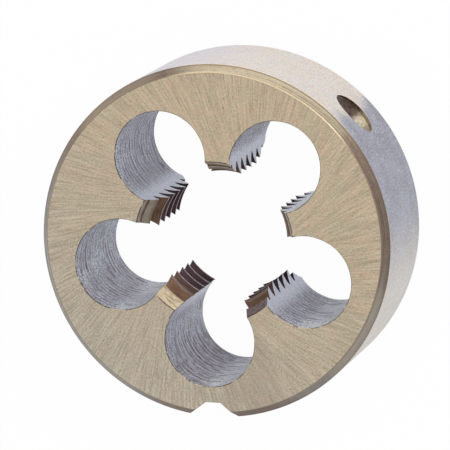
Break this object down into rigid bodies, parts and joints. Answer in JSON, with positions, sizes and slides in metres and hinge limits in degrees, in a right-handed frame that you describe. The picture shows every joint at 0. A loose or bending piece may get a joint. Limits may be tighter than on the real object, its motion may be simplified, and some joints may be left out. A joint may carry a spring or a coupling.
{
  "type": "round threading die",
  "caption": "Closed round threading die: a ground steel disc with chip holes around a threaded, tapered-entry bore, a rim notch and screw dimples.",
  "frame": {"origin": "on the thread axis, in the back face that the die lies on", "axes": "+Z along the thread axis towards the face that meets the bar first; -Y towards the notch in the rim"},
  "size_m": [0.045, 0.0448, 0.018],
  "materials": {
    "tool_steel": "ground and lapped, tempered to a light bronze on the faces"
  },
  "bodies": {
    "root": {"threading_die": "tool_steel"}
  },
  "joints": []
}
